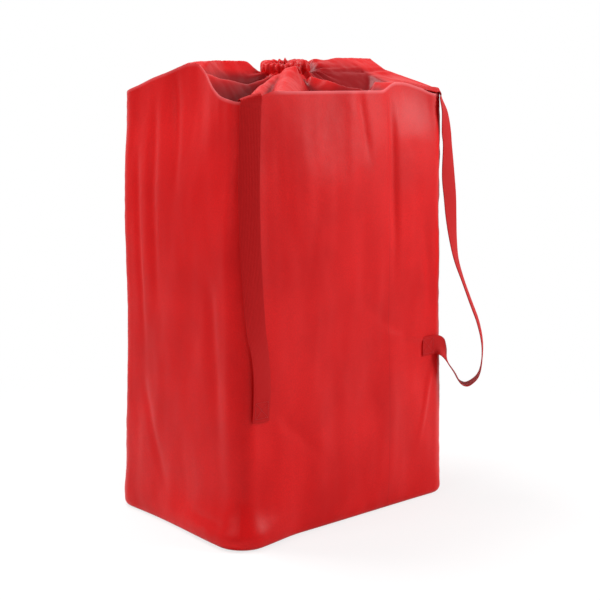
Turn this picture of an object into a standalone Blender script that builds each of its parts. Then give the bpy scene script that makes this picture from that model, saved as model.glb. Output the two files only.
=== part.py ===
"""Cinch-top equipment bag with two webbing shoulder straps, built as separate sewn pieces.

Units are metres, +Z is up. The origin is the middle of the base, on the floor. The panel that
carries the straps faces -Y and is called the front. The mouth is drawn shut by a cord that runs
in a hem casing and is held by a sprung cord lock on the back slope of the crown.
"""
import math

import bmesh
import bpy
from mathutils import Vector

# ---- driving dimensions ------------------------------------------------------------------
SHOULDER_HEIGHT = 0.800      # floor to the rim where the crown folds in
BASE_WIDTH = 0.547           # along X at the floor
BASE_DEPTH = 0.380           # along Y at the floor
SHOULDER_WIDTH = 0.517
SHOULDER_DEPTH = 0.364
CORNER_RADIUS = 0.040        # upright corners, seen from above
CREST_RISE = 0.055           # rim to the ridge of the crown
FOOT_ROUND = 0.010           # how far the walls tuck in at the floor
CLOTH = 0.003                # cloth panel with its seam allowance and stiffening
SEAM_GAP = 0.0003            # clearance between neighbouring pieces

TAPE_WIDTH = 0.024           # binding tape that covers a seam inside
TAPE_THICKNESS = 0.0015

CASING_RADIUS = 0.036        # gathered mouth, to the middle of the casing
CASING_HALF_WIDTH = 0.011
CASING_HALF_HEIGHT = 0.014
CASING_DROP = 0.007          # middle of the casing, below the ridge
CORD_DIAMETER = 0.004
CORD_CLEARANCE = 0.0006
EXIT_ANGLE = math.radians(50)        # where the cord leaves the casing, seen from above
EXIT_HALF_ANGLE = math.radians(17)
TAIL_SPACING = 0.0024        # each cord tail from the middle line through the lock

LOCK_RADIUS = 0.0085         # barrel of the cord lock
LOCK_WALL = 0.0018
LOCK_COLLAR = 0.0031         # barrel above the cords' slot
PLUNGER_WEB = 0.0015         # plunger between its slot and the spring
LOCK_STATION = 0.080         # middle of the lock from the middle of the mouth
PLUNGER_STANDOUT = 0.0065
PRESS_TRAVEL = 0.004
SPRING_PACKED = 0.0026       # spring when fully pressed
BORE_CLEARANCE = 0.0004
SLOT_CLEARANCE = 0.0005
SPRING_WIRE = 0.0007
SPRING_TURNS = 3

COIL_STATION = 0.165         # stored cord, from the middle of the mouth
COIL_MIDDLE_RADIUS = 0.022
COIL_HALF_WIDTH = 0.0065
COIL_HEIGHT = 0.012
KNOT_RADIUS = 0.005

WEBBING_WIDTH = 0.038
WEBBING = 0.0024             # thickness of the strap webbing
STRAP_GAP = 0.0006           # webbing off the cloth under it
STITCH_BOX = 0.029           # sewn end of a strap
ANCHOR_LEFT = (-0.2238, 0.2505)      # middle of the left strap's sewn end, X and Z
ANCHOR_RIGHT = (0.2076, 0.3090)
PATCH_MARGIN = 0.008
PATCH_THICKNESS = 0.0012

# ---- values worked out from them ---------------------------------------------------------
CREST_SLOPE = CREST_RISE / (SHOULDER_DEPTH / 2)
CASING_HEIGHT = SHOULDER_HEIGHT + CREST_RISE - CASING_DROP
CASING_OUTSIDE = CASING_RADIUS + CASING_HALF_WIDTH
CORD_RADIUS = CORD_DIAMETER / 2
QUARTER = math.pi / 2
ARC_STEPS = 3                # facets in each half of an upright corner
FACET_SAG = CORNER_RADIUS * (1 - math.cos(QUARTER / 4 / ARC_STEPS))


def clear_scene():
    for thing in list(bpy.data.objects):
        bpy.data.objects.remove(thing, do_unlink=True)


def material(name, colour, roughness, metallic=0.0):
    made = bpy.data.materials.get(name)
    if made is None:
        made = bpy.data.materials.new(name)
        made.use_nodes = True
        shader = made.node_tree.nodes["Principled BSDF"]
        shader.inputs["Base Color"].default_value = (*colour, 1.0)
        shader.inputs["Roughness"].default_value = roughness
        shader.inputs["Metallic"].default_value = metallic
    return made


NYLON = ("red_nylon", (0.55, 0.02, 0.025), 0.5)
TAPE = ("red_tape", (0.42, 0.015, 0.02), 0.6)
STRAP = ("red_webbing", (0.40, 0.012, 0.018), 0.6)
CORD = ("red_cord", (0.48, 0.02, 0.03), 0.6)
LOCK = ("black_acetal", (0.012, 0.012, 0.014), 0.35)
STEEL = ("spring_steel", (0.6, 0.6, 0.62), 0.3, 1.0)


def finish(name, mesh_builder, look, rounded=True):
    mesh = bpy.data.meshes.new(name)
    bmesh.ops.recalc_face_normals(mesh_builder, faces=mesh_builder.faces)
    mesh_builder.to_mesh(mesh)
    mesh_builder.free()
    thing = bpy.data.objects.new(name, mesh)
    bpy.context.scene.collection.objects.link(thing)
    mesh.materials.append(material(*look))
    if rounded:
        mesh.shade_smooth()
        mesh.set_sharp_from_angle(angle=math.radians(35))
    return thing


def loft(name, sections, look, closed_ring=False):
    """One closed body through rings of points, each ring being one cross-section."""
    builder = bmesh.new()
    rings = [[builder.verts.new(point) for point in section] for section in sections]
    count = len(rings[0])
    last = len(rings) if closed_ring else len(rings) - 1
    for index in range(last):
        here, there = rings[index], rings[(index + 1) % len(rings)]
        for corner in range(count):
            turn = (corner + 1) % count
            builder.faces.new((here[corner], here[turn], there[turn], there[corner]))
    if not closed_ring:
        builder.faces.new(rings[0])
        builder.faces.new(list(reversed(rings[-1])))
    return finish(name, builder, look)


# ---- the bag's surface -------------------------------------------------------------------
def half_sizes(height):
    share = min(height, SHOULDER_HEIGHT) / SHOULDER_HEIGHT
    half_width = (BASE_WIDTH + (SHOULDER_WIDTH - BASE_WIDTH) * share) / 2
    half_depth = (BASE_DEPTH + (SHOULDER_DEPTH - BASE_DEPTH) * share) / 2
    return half_width, half_depth


def foot_tuck(height):
    """How far the wall is tucked in, on a quarter circle at the floor."""
    if height >= FOOT_ROUND:
        return 0.0
    rise = 1.0 - height / FOOT_ROUND
    return FOOT_ROUND * (1.0 - math.sqrt(1.0 - rise * rise))


def crown_height(y):
    return SHOULDER_HEIGHT + CREST_SLOPE * (SHOULDER_DEPTH / 2 - abs(y))


def panel_columns(side, straight_steps=8):
    """Columns of one panel, from the middle of one corner to the middle of the next.

    Each column is (share of X, share of Y, outward angle); sides 0 to 3 are front, right,
    back and left.
    """
    facing = side * QUARTER - QUARTER
    corners = [(-1, -1), (1, -1), (1, 1), (-1, 1)]
    first, second = corners[side], corners[(side + 1) % 4]
    columns = []
    for step in range(ARC_STEPS):
        angle = facing - QUARTER / 2 + (QUARTER / 2) * step / ARC_STEPS
        columns.append((first[0], first[1], angle))
    for step in range(straight_steps + 1):
        share = step / straight_steps
        place = [first[axis] + (second[axis] - first[axis]) * share for axis in (0, 1)]
        columns.append((place[0], place[1], facing))
    for step in range(1, ARC_STEPS + 1):
        angle = facing + (QUARTER / 2) * step / ARC_STEPS
        columns.append((second[0], second[1], angle))
    return columns


def wall_point(column, height, inward=0.0):
    half_width, half_depth = half_sizes(height)
    radius = CORNER_RADIUS - inward - foot_tuck(height)
    x = column[0] * (half_width - CORNER_RADIUS) + radius * math.cos(column[2])
    y = column[1] * (half_depth - CORNER_RADIUS) + radius * math.sin(column[2])
    return Vector((x, y, height))


def crown_point(column, index, count, side, share, drop=0.0):
    """A point on the crown: share 0 is the rim, 1 is the edge that meets the casing."""
    rim = wall_point(column, SHOULDER_HEIGHT, drop)
    around = side * QUARTER - QUARTER + QUARTER * (index / (count - 1) - 0.5)
    reach = CASING_OUTSIDE + SEAM_GAP
    mouth = Vector((reach * math.cos(around), reach * math.sin(around), 0.0))
    point = rim.lerp(mouth, share)
    point.z = crown_height(point.y) - drop
    return point


WALL_LEVELS = (CLOTH + SEAM_GAP, 0.0055, FOOT_ROUND, 0.06, 0.25, 0.50, 0.72)
CROWN_SHARES = (0.0, 0.35, 0.7, 1.0)


def panel(name, side):
    """A wall and its part of the crown, cut as one piece of cloth."""
    columns = panel_columns(side)
    count = len(columns)
    outer, inner = [], []
    for index, column in enumerate(columns):
        ends = {0: SEAM_GAP, count - 1: -SEAM_GAP}
        along = Vector((-math.sin(column[2]), math.cos(column[2]), 0.0)) * ends.get(index, 0.0)
        outside = [wall_point(column, level) for level in WALL_LEVELS]
        inside = [wall_point(column, level, CLOTH) for level in WALL_LEVELS]
        for share in CROWN_SHARES:
            outside.append(crown_point(column, index, count, side, share))
            inside.append(crown_point(column, index, count, side, share, CLOTH))
        outer.append([point + along for point in outside])
        inner.append([point + along for point in inside])
    sections = [out + list(reversed(back)) for out, back in zip(outer, inner)]
    return sheet_body(name, sections, NYLON)


def sheet_body(name, sections, look):
    """A curved sheet with thickness; each section runs up the outside and down the inside."""
    builder = bmesh.new()
    rings = [[builder.verts.new(point) for point in section] for section in sections]
    count = len(rings[0])
    half = count // 2
    for here, there in zip(rings, rings[1:]):
        for corner in range(count):
            turn = (corner + 1) % count
            builder.faces.new((here[corner], there[corner], there[turn], here[turn]))
    for ring in (rings[0], rings[-1]):
        for level in range(half - 1):
            builder.faces.new((ring[level], ring[level + 1],
                               ring[count - 2 - level], ring[count - 1 - level]))
    return finish(name, builder, look)


def rounded_plan(half_width, half_depth, radius, height, steps=6):
    points = []
    for corner, (across, along) in enumerate([(1, 1), (-1, 1), (-1, -1), (1, -1)]):
        for step in range(steps + 1):
            angle = corner * QUARTER + QUARTER * step / steps
            points.append(Vector((across * (half_width - radius) + radius * math.cos(angle),
                                  along * (half_depth - radius) + radius * math.sin(angle),
                                  height)))
    return points


def base_panel():
    tuck = foot_tuck(CLOTH)
    sections = []
    for height, inset in ((0.0, tuck + 0.0006), (CLOTH, tuck)):
        sections.append(rounded_plan(BASE_WIDTH / 2 - inset, BASE_DEPTH / 2 - inset,
                                     CORNER_RADIUS - inset, height))
    return loft("base_panel", sections, NYLON)


def base_binding():
    """Tape laid over the seam between the walls and the base, inside the bag."""
    low = CLOTH + SEAM_GAP
    inset = foot_tuck(low) + CLOTH + SEAM_GAP
    width = TAPE_WIDTH / 2
    builder = bmesh.new()
    rings = []
    for inside, height in ((inset, low), (inset + width, low), (inset + width, low + TAPE_THICKNESS),
                           (inset, low + TAPE_THICKNESS)):
        plan = rounded_plan(BASE_WIDTH / 2 - inside, BASE_DEPTH / 2 - inside,
                            CORNER_RADIUS - inside, height)
        rings.append([builder.verts.new(point) for point in plan])
    for here, there in zip(rings, rings[1:] + rings[:1]):
        for index in range(len(here)):
            turn = (index + 1) % len(here)
            builder.faces.new((here[index], here[turn], there[turn], there[index]))
    return finish("base_seam_binding", builder, TAPE)


def corner_binding(name, corner):
    """Tape over the seam of one upright corner, inside the bag."""
    signs = [(1, 1), (-1, 1), (-1, -1), (1, -1)][corner]
    middle = QUARTER * corner + QUARTER / 2
    reach = (TAPE_WIDTH / 2) / (CORNER_RADIUS - CLOTH)
    inward = CLOTH + SEAM_GAP + FACET_SAG
    sections = []
    for step in range(5):
        column = (signs[0], signs[1], middle + reach * (step / 2 - 1))
        outside = [wall_point(column, level, inward) for level in WALL_LEVELS[2:]]
        inside = [wall_point(column, level, inward + TAPE_THICKNESS) for level in WALL_LEVELS[2:]]
        sections.append(outside + list(reversed(inside)))
    return sheet_body(name, sections, TAPE)


# ---- mouth: casing, cord and lock --------------------------------------------------------
OUT_FLAT = Vector((math.cos(EXIT_ANGLE), math.sin(EXIT_ANGLE), 0.0))
ACROSS = Vector((-math.sin(EXIT_ANGLE), math.cos(EXIT_ANGLE), 0.0))
DOWNHILL = Vector((OUT_FLAT.x, OUT_FLAT.y, -CREST_SLOPE * OUT_FLAT.y)).normalized()
SLOPE_UP = Vector((0.0, CREST_SLOPE, 1.0)).normalized()
SLOPE_ACROSS = SLOPE_UP.cross(DOWNHILL).normalized()


def on_back_slope(along, across, above):
    """A point measured outwards from the mouth, sideways, and square off the back slope."""
    plan = OUT_FLAT * along + ACROSS * across
    foot = Vector((plan.x, plan.y, crown_height(plan.y)))
    return foot + SLOPE_UP * above


LOCK_ABOVE = LOCK_RADIUS + SEAM_GAP
LOCK_MIDDLE = on_back_slope(LOCK_STATION, 0.0, LOCK_ABOVE)


def casing_section(angle, reach_out, reach_up, steps):
    """A rounded section of the casing at one angle round the mouth."""
    outward = Vector((math.cos(angle), math.sin(angle), 0.0))
    middle = outward * CASING_RADIUS + Vector((0, 0, CASING_HEIGHT))
    points = []
    for step in range(steps):
        turn = 2 * math.pi * (step + 0.5) / steps
        flat = 0.6
        across = math.copysign(abs(math.cos(turn)) ** flat, math.cos(turn)) * reach_out
        upward = math.copysign(abs(math.sin(turn)) ** flat, math.sin(turn)) * reach_up
        points.append(middle + outward * across + Vector((0, 0, upward)))
    return points


def hem_casing():
    """Tunnel of folded cloth round the gathered mouth, open at the two ends by the exit."""
    steps = 40
    start = EXIT_ANGLE + EXIT_HALF_ANGLE
    sweep = 2 * math.pi - 2 * EXIT_HALF_ANGLE
    channel = CORD_RADIUS + CORD_CLEARANCE
    builder = bmesh.new()
    skins = []
    for reach_out, reach_up in ((CASING_HALF_WIDTH, CASING_HALF_HEIGHT), (channel, channel)):
        rings = []
        for step in range(steps + 1):
            section = casing_section(start + sweep * step / steps, reach_out, reach_up, 12)
            rings.append([builder.verts.new(point) for point in section])
        skins.append(rings)
        for here, there in zip(rings, rings[1:]):
            for corner in range(12):
                turn = (corner + 1) % 12
                builder.faces.new((here[corner], here[turn], there[turn], there[corner]))
    for end in (0, -1):
        outer, inner = skins[0][end], skins[1][end]
        for corner in range(12):
            turn = (corner + 1) % 12
            builder.faces.new((outer[corner], outer[turn], inner[turn], inner[corner]))
    return finish("hem_casing", builder, NYLON)


def tail_points(sign):
    """One cord tail, from the casing's end out through the lock to the stored coil."""
    start_angle = EXIT_ANGLE + sign * EXIT_HALF_ANGLE
    start = Vector((CASING_RADIUS * math.cos(start_angle), CASING_RADIUS * math.sin(start_angle),
                    CASING_HEIGHT))
    heading = Vector((math.sin(start_angle), -math.cos(start_angle), 0.0)) * sign
    straight = on_back_slope(LOCK_STATION - 0.018, sign * TAIL_SPACING, LOCK_ABOVE)
    reach = 0.016
    first = start + heading * reach
    second = straight - DOWNHILL * reach * 1.3
    points = []
    for step in range(1, 9):
        t = step / 8
        u = 1 - t
        points.append(start * u ** 3 + first * 3 * u * u * t + second * 3 * u * t * t
                      + straight * t ** 3)
    coil_edge = COIL_MIDDLE_RADIUS + COIL_HALF_WIDTH
    back = math.sqrt(coil_edge ** 2 - (COIL_MIDDLE_RADIUS - CORD_RADIUS) ** 2)
    end = COIL_STATION - back - 0.0045
    points.append(on_back_slope(end, sign * TAIL_SPACING, LOCK_ABOVE))
    return points


def drawcord():
    """The cord: once round the mouth in its casing, and both tails out to the coil."""
    ring = []
    start = EXIT_ANGLE + EXIT_HALF_ANGLE
    sweep = 2 * math.pi - 2 * EXIT_HALF_ANGLE
    for step in range(41):
        angle = start + sweep * step / 40
        ring.append(Vector((CASING_RADIUS * math.cos(angle), CASING_RADIUS * math.sin(angle),
                            CASING_HEIGHT)))
    route = list(reversed(tail_points(1))) + ring + tail_points(-1)
    return tube("drawcord", route, CORD_RADIUS, CORD, resolution=2)


def tube(name, route, radius, look, resolution):
    curve = bpy.data.curves.new(name, "CURVE")
    curve.dimensions = "3D"
    curve.bevel_depth = radius
    curve.bevel_resolution = resolution
    curve.use_fill_caps = True
    spline = curve.splines.new("POLY")
    spline.points.add(len(route) - 1)
    for point, place in zip(spline.points, route):
        point.co = (*place, 1.0)
    curve.materials.append(material(*look))
    thing = bpy.data.objects.new(name, curve)
    bpy.context.scene.collection.objects.link(thing)
    return thing


COIL_MIDDLE = on_back_slope(COIL_STATION, -COIL_MIDDLE_RADIUS, COIL_HEIGHT / 2 + SEAM_GAP)


def drawcord_coil():
    """Outer shape of the stored length of both tails, wound flat on the back slope."""
    sections = []
    for step in range(28):
        angle = 2 * math.pi * step / 28
        outward = DOWNHILL * math.cos(angle) + SLOPE_ACROSS * math.sin(angle)
        middle = COIL_MIDDLE + outward * COIL_MIDDLE_RADIUS
        section = []
        for across, above in ((-1, -0.6), (-0.6, -1), (0.6, -1), (1, -0.6),
                              (1, 0.6), (0.6, 1), (-0.6, 1), (-1, 0.6)):
            section.append(middle + outward * across * COIL_HALF_WIDTH
                           + SLOPE_UP * above * COIL_HEIGHT / 2)
        sections.append(section)
    return loft("drawcord_coil", sections, CORD, closed_ring=True)


def turned(name, rings, middle, axis, side, look, steps=20):
    """A solid of revolution; rings are (distance along the axis, radius), from one end on."""
    across = axis.cross(side)
    builder = bmesh.new()
    loops = []
    for along, radius in rings:
        loop = []
        for step in range(steps):
            angle = 2 * math.pi * step / steps
            outward = side * math.cos(angle) + across * math.sin(angle)
            loop.append(builder.verts.new(middle + axis * along + outward * radius))
        loops.append(loop)
    for here, there in zip(loops, loops[1:]):
        for step in range(steps):
            turn = (step + 1) % steps
            builder.faces.new((here[step], here[turn], there[turn], there[step]))
    builder.faces.new(loops[0])
    builder.faces.new(list(reversed(loops[-1])))
    return finish(name, builder, look)


def end_knot():
    """The overhand knot that joins both tails, lying in the eye of the coil."""
    eye = COIL_MIDDLE_RADIUS - COIL_HALF_WIDTH - KNOT_RADIUS - SEAM_GAP
    middle = COIL_MIDDLE + SLOPE_UP * (KNOT_RADIUS - COIL_HEIGHT / 2) + DOWNHILL * eye
    rings = []
    for step in range(1, 8):
        angle = math.pi * step / 8
        rings.append((-KNOT_RADIUS * math.cos(angle), KNOT_RADIUS * math.sin(angle)))
    return turned("cord_end_knot", rings, middle, SLOPE_UP, DOWNHILL, CORD, steps=14)


LOCK_AXIS = SLOPE_ACROSS
SLOT_HALF_WIDTH = TAIL_SPACING + CORD_RADIUS + SLOT_CLEARANCE
BODY_SLOT_HALF_HEIGHT = CORD_RADIUS + SLOT_CLEARANCE
PLUNGER_RADIUS = LOCK_RADIUS - LOCK_WALL - BORE_CLEARANCE
LOCK_TOP = SLOT_HALF_WIDTH + LOCK_COLLAR
PLUNGER_LOW = -SLOT_HALF_WIDTH - PLUNGER_WEB
LOCK_BOTTOM = PLUNGER_LOW - PRESS_TRAVEL - SPRING_PACKED - LOCK_WALL


def box_cutter(name, middle, axes, half_sizes_xyz):
    builder = bmesh.new()
    bmesh.ops.create_cube(builder, size=2.0)
    for vertex in builder.verts:
        place = Vector(middle)
        for axis, half, value in zip(axes, half_sizes_xyz, vertex.co.copy()):
            place += axis * half * value
        vertex.co = place
    cutter = finish(name, builder, LOCK, rounded=False)
    cutter.hide_render = True
    cutter.display_type = "WIRE"
    return cutter


def cut(thing, cutter):
    boolean = thing.modifiers.new("slot", "BOOLEAN")
    boolean.operation = "DIFFERENCE"
    boolean.solver = "EXACT"
    boolean.object = cutter


def lock_axes():
    """Slot axes: along the cords, across both cords, and square to the slope."""
    return DOWNHILL, LOCK_AXIS, SLOPE_UP


def cord_lock(holder):
    """Barrel, sprung plunger and spring; both cords pass the barrel side by side."""
    bore = LOCK_RADIUS - LOCK_WALL
    bevel = 0.0008
    rings = [(LOCK_BOTTOM, LOCK_RADIUS - bevel), (LOCK_BOTTOM + bevel, LOCK_RADIUS),
             (LOCK_TOP - bevel, LOCK_RADIUS), (LOCK_TOP, LOCK_RADIUS - bevel), (LOCK_TOP, bore),
             (LOCK_BOTTOM + LOCK_WALL, bore)]
    body = turned("cord_lock_body", rings, LOCK_MIDDLE, LOCK_AXIS, SLOPE_UP, LOCK, steps=24)
    along, across, up = lock_axes()
    slot = (2 * LOCK_RADIUS, SLOT_HALF_WIDTH, BODY_SLOT_HALF_HEIGHT)
    cut(body, box_cutter("body_slot_cutter", LOCK_MIDDLE, (along, across, up), slot))

    # the plunger's slot is longer by the press travel, so it clears the cords when pressed
    stretch = PRESS_TRAVEL / 2
    head = LOCK_TOP + PLUNGER_STANDOUT
    rings = [(PLUNGER_LOW, PLUNGER_RADIUS), (head - 0.0012, PLUNGER_RADIUS),
             (head, PLUNGER_RADIUS - 0.0012)]
    plunger = turned("cord_lock_plunger", rings, LOCK_MIDDLE, LOCK_AXIS, SLOPE_UP, LOCK, steps=20)
    middle = LOCK_MIDDLE + LOCK_AXIS * stretch
    slot = (2 * LOCK_RADIUS, SLOT_HALF_WIDTH + stretch, BODY_SLOT_HALF_HEIGHT)
    cut(plunger, box_cutter("plunger_slot_cutter", middle, (along, across, up), slot))

    spring_low = LOCK_BOTTOM + LOCK_WALL + SPRING_WIRE / 2 + SEAM_GAP
    spring_high = PLUNGER_LOW - SPRING_WIRE / 2 - SEAM_GAP
    coil = PLUNGER_RADIUS - SPRING_WIRE
    route = []
    for step in range(SPRING_TURNS * 12 + 1):
        share = step / (SPRING_TURNS * 12)
        angle = 2 * math.pi * SPRING_TURNS * share
        outward = up * math.cos(angle) + along * math.sin(angle)
        height = spring_low + (spring_high - spring_low) * share
        route.append(LOCK_MIDDLE + LOCK_AXIS * height + outward * coil)
    spring = tube("cord_lock_spring", route, SPRING_WIRE / 2, STEEL, resolution=1)
    for thing in (body, plunger, spring):
        thing.parent = holder


# ---- straps ------------------------------------------------------------------------------
def smooth(points, steps):
    """Catmull-Rom curve through lists of numbers, with so many steps between neighbours."""
    rows = [list(point) for point in points]
    result = []
    for index in range(len(rows) - 1):
        before, here = rows[max(index - 1, 0)], rows[index]
        there, after = rows[index + 1], rows[min(index + 2, len(rows) - 1)]
        for step in range(steps):
            t = step / steps
            result.append([0.5 * (2 * b + (c - a) * t + (2 * a - 5 * b + 4 * c - d) * t * t
                                  + (3 * b - a - 3 * c + d) * t ** 3)
                           for a, b, c, d in zip(before, here, there, after)])
    result.append(rows[-1])
    return result


def smooth_stations(stations, steps):
    """The same for webbing stations, each a place and a direction of width."""
    rows = smooth([(*place, *wide) for place, wide in stations], steps)
    return [(row[:3], row[3:]) for row in rows]


def ribbon(name, stations, first_way=None, last_way=None):
    """Webbing along stations of (middle of the webbing, direction of its width).

    first_way and last_way are the directions that its cut ends face along.
    """
    middles = [Vector(station[0]) for station in stations]
    sections = []
    for index, (place, wide) in enumerate(stations):
        before = middles[max(index - 1, 0)]
        after = middles[min(index + 1, len(middles) - 1)]
        tangent = (after - before).normalized()
        if index == 0 and first_way:
            tangent = Vector(first_way)
        if index == len(stations) - 1 and last_way:
            tangent = Vector(last_way)
        across = Vector(wide)
        across = (across - tangent * across.dot(tangent)).normalized()
        normal = tangent.cross(across)
        edge, face = across * WEBBING_WIDTH / 2, normal * WEBBING / 2
        middle = Vector(place)
        sections.append([middle + edge + face, middle - edge + face,
                         middle - edge - face, middle + edge - face])
    return loft(name, sections, STRAP)


STRAP_LIFT = STRAP_GAP + WEBBING / 2
X_WAY, Z_WAY = (1.0, 0.0, 0.0), (0.0, 0.0, 1.0)


def on_corner(mirror, past_corner, height):
    """Webbing on the front panel or round its corner; past_corner is the length round it."""
    half_width, half_depth = half_sizes(height)
    straight = half_width - CORNER_RADIUS
    angle = max(past_corner, 0.0) / CORNER_RADIUS
    radius = CORNER_RADIUS + STRAP_LIFT
    x = straight + min(past_corner, 0.0) + radius * math.sin(angle)
    y = -(half_depth - CORNER_RADIUS) - radius * math.cos(angle)
    wide = (mirror * math.cos(angle), math.sin(angle), 0.0)
    return (mirror * x, y, height), wide


def on_crown(x, y):
    normal = Vector((0.0, -CREST_SLOPE, 1.0)).normalized()
    return Vector((x, y, crown_height(y))) + normal * STRAP_LIFT, X_WAY


def over_the_rim(x, lift):
    """Three places where webbing bends over the rim, standing a little proud of it."""
    front = -SHOULDER_DEPTH / 2
    return [(Vector((x, front - lift, SHOULDER_HEIGHT - 0.006)), X_WAY),
            (Vector((x, front - lift * 0.8, SHOULDER_HEIGHT + lift * 0.5)), X_WAY),
            (Vector((x, front + lift * 0.2, SHOULDER_HEIGHT + lift)), X_WAY)]


def left_strap():
    """Pulled tight down the left front corner, both ends sewn down."""
    low = ANCHOR_LEFT[1] - STITCH_BOX / 2 - 0.007
    end_reach = -ANCHOR_LEFT[0] - (half_sizes(ANCHOR_LEFT[1])[0] - CORNER_RADIUS)
    # height and length round the corner: the webbing leans out to the corner as it climbs
    lean = [(low, end_reach), (0.30, end_reach), (0.36, 0.002), (0.39, 0.0075), (0.45, 0.0118),
            (0.54, 0.0160), (0.635, 0.0178), (0.71, 0.0165), (0.755, 0.0105), (0.780, 0.0035)]
    stations = [on_corner(-1, reach, height) for height, reach in smooth(lean, 4)]
    top = -(half_sizes(SHOULDER_HEIGHT)[0] - CORNER_RADIUS) - 0.0015
    stations += over_the_rim(top, 0.0035)
    stations += [on_crown(top, y) for y in (-0.168, -0.140, -0.100)]
    ribbon("left_strap", stations)


CORNER_OUT = Vector((0.7472, -0.6646, 0.0))      # straight out from the right front corner
CORNER_BACK = Vector((0.6646, 0.7472, 0.0))
LOOP_ORIGIN = Vector((0.2510, -0.1630, 0.0))


def loop_station(out, back, height, twist):
    """Webbing of the hanging loop; twist turns its width from outwards to backwards."""
    place = LOOP_ORIGIN + CORNER_OUT * out + CORNER_BACK * back + Vector((0, 0, height))
    angle = math.radians(twist)
    return place, CORNER_OUT * math.cos(angle) + CORNER_BACK * math.sin(angle)


LOOP_TOP = (0.0215, -0.004, 0.700, 58)
LOOP_FOOT = Vector((0.2470, -0.1900, 0.3125))


def right_strap_top():
    """Sewn up the front slope of the crown, over the rim, and down to where the loop hangs."""
    stations = [on_crown(x, y) for x, y in ((0.2340, -0.094), (0.2350, -0.130), (0.2370, -0.163))]
    stations += list(reversed(over_the_rim(0.2395, 0.0045)))
    stations.append(((0.2450, -0.1862, 0.780), (0.95, 0.30, 0.0)))
    stations.append(((0.2515, -0.1838, 0.758), (0.85, 0.53, 0.0)))
    stations.append(loop_station(0.0185, -0.0080, 0.728, 62))
    stations.append(loop_station(*LOOP_TOP[:2], LOOP_TOP[2] + SEAM_GAP, LOOP_TOP[3]))
    ribbon("right_strap_top", smooth_stations(stations, 3), last_way=(0.0, 0.0, -1.0))


def right_strap(holder):
    """The loop that hangs clear of the corner and swings about the line through its ends."""
    stations = [loop_station(*LOOP_TOP[:2], LOOP_TOP[2] - SEAM_GAP, LOOP_TOP[3])]
    for out, back, height, twist in (
            (0.0241, -0.004, 0.642, 45), (0.0282, -0.004, 0.600, 46), (0.0313, -0.004, 0.559, 52),
            (0.0359, -0.004, 0.517, 62), (0.0436, -0.003, 0.474, 72), (0.0576, -0.003, 0.432, 78),
            (0.0737, -0.002, 0.389, 78), (0.0896, -0.002, 0.347, 78), (0.0986, -0.002, 0.304, 80),
            (0.0975, -0.002, 0.262, 82), (0.0915, -0.003, 0.240, 84), (0.0800, -0.004, 0.2275, 86),
            (0.0666, -0.006, 0.2220, 88), (0.0538, -0.008, 0.2285, 90), (0.0435, -0.010, 0.2480, 92),
            (0.0365, -0.012, 0.2680, 94)):
        stations.append(loop_station(out, back, height, twist))
    # the last stretch turns from edge-on to flat against the panel
    stations.append(((0.2700, -0.1925, 0.2930), (0.50, 0.50, 0.55)))
    stations.append(((0.2645, -0.1925, 0.3080), (0.20, 0.15, 1.0)))
    stations.append(((0.2560, -0.1912, 0.3125), Z_WAY))
    stations.append((LOOP_FOOT, Z_WAY))
    strap = ribbon("right_strap", smooth_stations(stations, 2),
                   first_way=(0.0, 0.0, -1.0), last_way=(-1.0, 0.0, 0.0))
    strap.parent = holder


def right_strap_end():
    """The loop's lower end, laid flat with its width upright and box-stitched."""
    x, z = ANCHOR_RIGHT
    y = -half_sizes(z - WEBBING_WIDTH / 2)[1] - STRAP_LIFT
    meet = LOOP_FOOT - Vector((2 * SEAM_GAP, 0, 0))
    places = [(x - STITCH_BOX / 2, y, z), (x + STITCH_BOX / 2, y, z),
              ((x + STITCH_BOX / 2 + meet.x) / 2, y, (z + meet.z) / 2), meet]
    ribbon("right_strap_end", [(place, Z_WAY) for place in places], last_way=X_WAY)


def anchor_patch(name, place, half_width, half_height):
    """Square of cloth behind a sewn strap end, on the flat of the front panel's inside."""
    x, z = place
    flat = half_sizes(z + half_height)[0] - CORNER_RADIUS - half_width
    x = math.copysign(min(abs(x), flat), x)
    columns = []
    for across in (-1, 1):
        outside, inside = [], []
        for up in (-1, 1):
            height = z + up * half_height
            half_depth = half_sizes(height)[1]
            y = -half_depth + CLOTH + SEAM_GAP
            outside.append(Vector((x + across * half_width, y, height)))
            inside.append(Vector((x + across * half_width, y + PATCH_THICKNESS, height)))
        columns.append(outside + list(reversed(inside)))
    return sheet_body(name, columns, NYLON)


def main():
    clear_scene()
    for side, name in enumerate(("front_panel", "right_side_panel", "back_panel",
                                 "left_side_panel")):
        panel(name, side)
    base_panel()
    base_binding()
    for corner, name in enumerate(("back_right", "back_left", "front_left", "front_right")):
        corner_binding(f"seam_binding_{name}", corner)
    hem_casing()
    drawcord()
    drawcord_coil()
    end_knot()
    lock_holder = bpy.data.objects.new("cord_lock_slide", None)
    bpy.context.scene.collection.objects.link(lock_holder)
    cord_lock(lock_holder)
    left_strap()
    right_strap_top()
    swing = bpy.data.objects.new("right_strap_swing", None)
    bpy.context.scene.collection.objects.link(swing)
    right_strap(swing)
    right_strap_end()
    half_patch = STITCH_BOX / 2 + PATCH_MARGIN
    anchor_patch("left_anchor_patch", ANCHOR_LEFT,
                 half_patch, WEBBING_WIDTH / 2 + PATCH_MARGIN)
    anchor_patch("right_anchor_patch", ANCHOR_RIGHT,
                 half_patch, WEBBING_WIDTH / 2 + PATCH_MARGIN)


main()
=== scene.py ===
"""Looks of the cinch-top equipment bag: sewn nylon shell, gathered mouth, webbing straps.

Units are metres, +Z is up. The wide panel with the straps faces -Y.
"""
import math

import bmesh
import bpy
import numpy as np
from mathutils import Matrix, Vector, noise


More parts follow.
